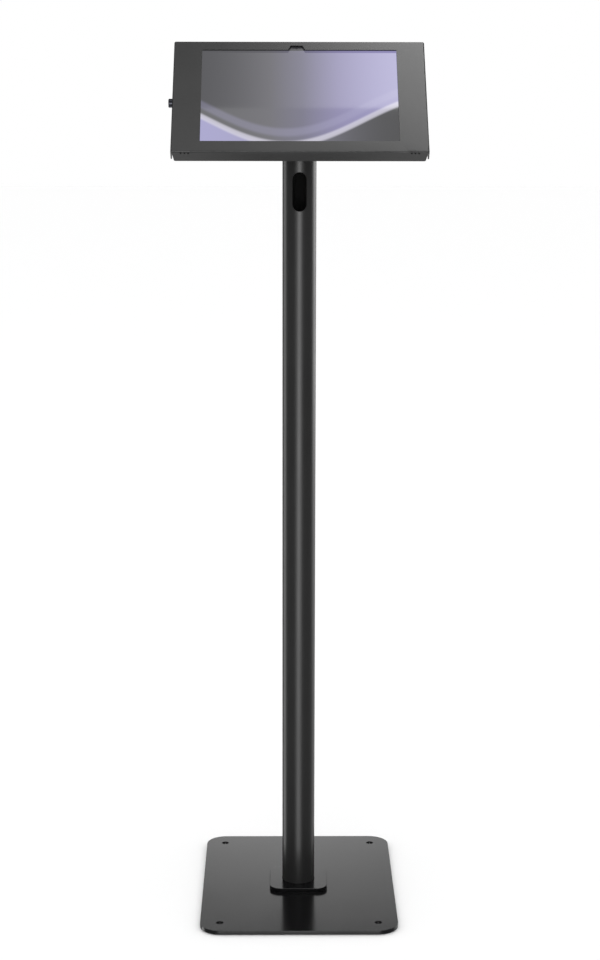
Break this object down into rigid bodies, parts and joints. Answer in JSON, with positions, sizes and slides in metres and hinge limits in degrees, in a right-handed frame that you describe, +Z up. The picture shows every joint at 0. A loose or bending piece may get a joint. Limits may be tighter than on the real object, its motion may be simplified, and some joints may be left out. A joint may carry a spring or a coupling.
{
  "type": "touchscreen kiosk",
  "caption": "Floor-standing tablet kiosk: flat steel base, round column with a cable slot, and a tilted lockable sheet-metal head with a hinged windowed cover.",
  "frame": {"origin": "on the floor under the middle of the base plate", "axes": "+Z up along the column, -Y towards the visitor, +X to the visitor's right"},
  "size_m": [0.3148, 0.318, 1.0939],
  "materials": {
    "base_coat": "semi-gloss black powder coat",
    "satin_coat": "satin black powder coat on folded sheet and tube",
    "bare_steel": "zinc-plated steel",
    "lock_metal": "black nickel plate",
    "plug_metal": "nickel-plated brass",
    "mat_rubber": "matt black rubber",
    "foam": "closed-cell black foam",
    "tablet_aluminium": "bead-blasted dark anodised",
    "screen_glass": "polished cover glass with a dark border",
    "display": "lit display showing a soft abstract picture",
    "battery_wrap": "dark film",
    "circuit_board": "green solder mask",
    "dark_plastic": "moulded black",
    "port_metal": "plain"
  },
  "bodies": {
    "stand": {"base_mat": "mat_rubber", "base_plate": "base_coat", "foot_screws": "bare_steel", "foot_flange": "base_coat", "foot_weld": "bare_steel", "tube_left": "satin_coat", "tube_right": "satin_coat", "tube_front": "satin_coat", "tube_back": "satin_coat", "tube_neck": "satin_coat", "tube_exit": "satin_coat", "plate_weld": "satin_coat", "mount_plate": "satin_coat", "tray_screws": "bare_steel", "cable_grommet": "mat_rubber", "back_tray": "satin_coat", "hinge_leaf": "satin_coat", "hinge_pin": "bare_steel", "lock_catch": "bare_steel", "catch_rivets": "bare_steel", "back_pads": "foam", "left_spacers": "foam", "right_spacers": "foam", "edge_strips": "foam", "tablet_shell": "tablet_aluminium", "tablet_glass": "screen_glass", "display_panel": "display", "mid_plate": "bare_steel", "battery_cells": "battery_wrap", "logic_board": "circuit_board", "speaker_boxes": "dark_plastic", "front_camera": "dark_plastic", "charge_port": "port_metal"},
    "power_button": {"power_key": "tablet_aluminium"},
    "volume_button": {"volume_key": "tablet_aluminium"},
    "cover": {"front_cover": "satin_coat", "window_gasket": "foam", "lock_body": "lock_metal", "lock_nut": "bare_steel"},
    "lock_cylinder": {"lock_plug": "plug_metal", "lock_cam": "bare_steel", "cam_screw": "bare_steel"}
  },
  "joints": [
    {"name": "cover_hinge", "type": "hinge", "parent": "stand", "child": "cover", "pos_m": [0.153, 0.00106, 1.01544], "axis": [0, 0.7071, 0.7071], "range_deg": [0, 100]},
    {"name": "lock_turn", "type": "hinge", "parent": "cover", "child": "lock_cylinder", "pos_m": [-0.155, -0.01075, 1.01947], "axis": [1, 0, 0], "range_deg": [0, 90]},
    {"name": "power_press", "type": "slide", "parent": "stand", "child": "power_button", "axis": [0, -0.7071, -0.7071], "range_m": [0, 0.0004], "stiffness_N_per_m": 1500, "springref_m": -0.0004},
    {"name": "volume_press", "type": "slide", "parent": "stand", "child": "volume_button", "axis": [0, -0.7071, -0.7071], "range_m": [0, 0.0004], "stiffness_N_per_m": 1500, "springref_m": -0.0004}
  ]
}
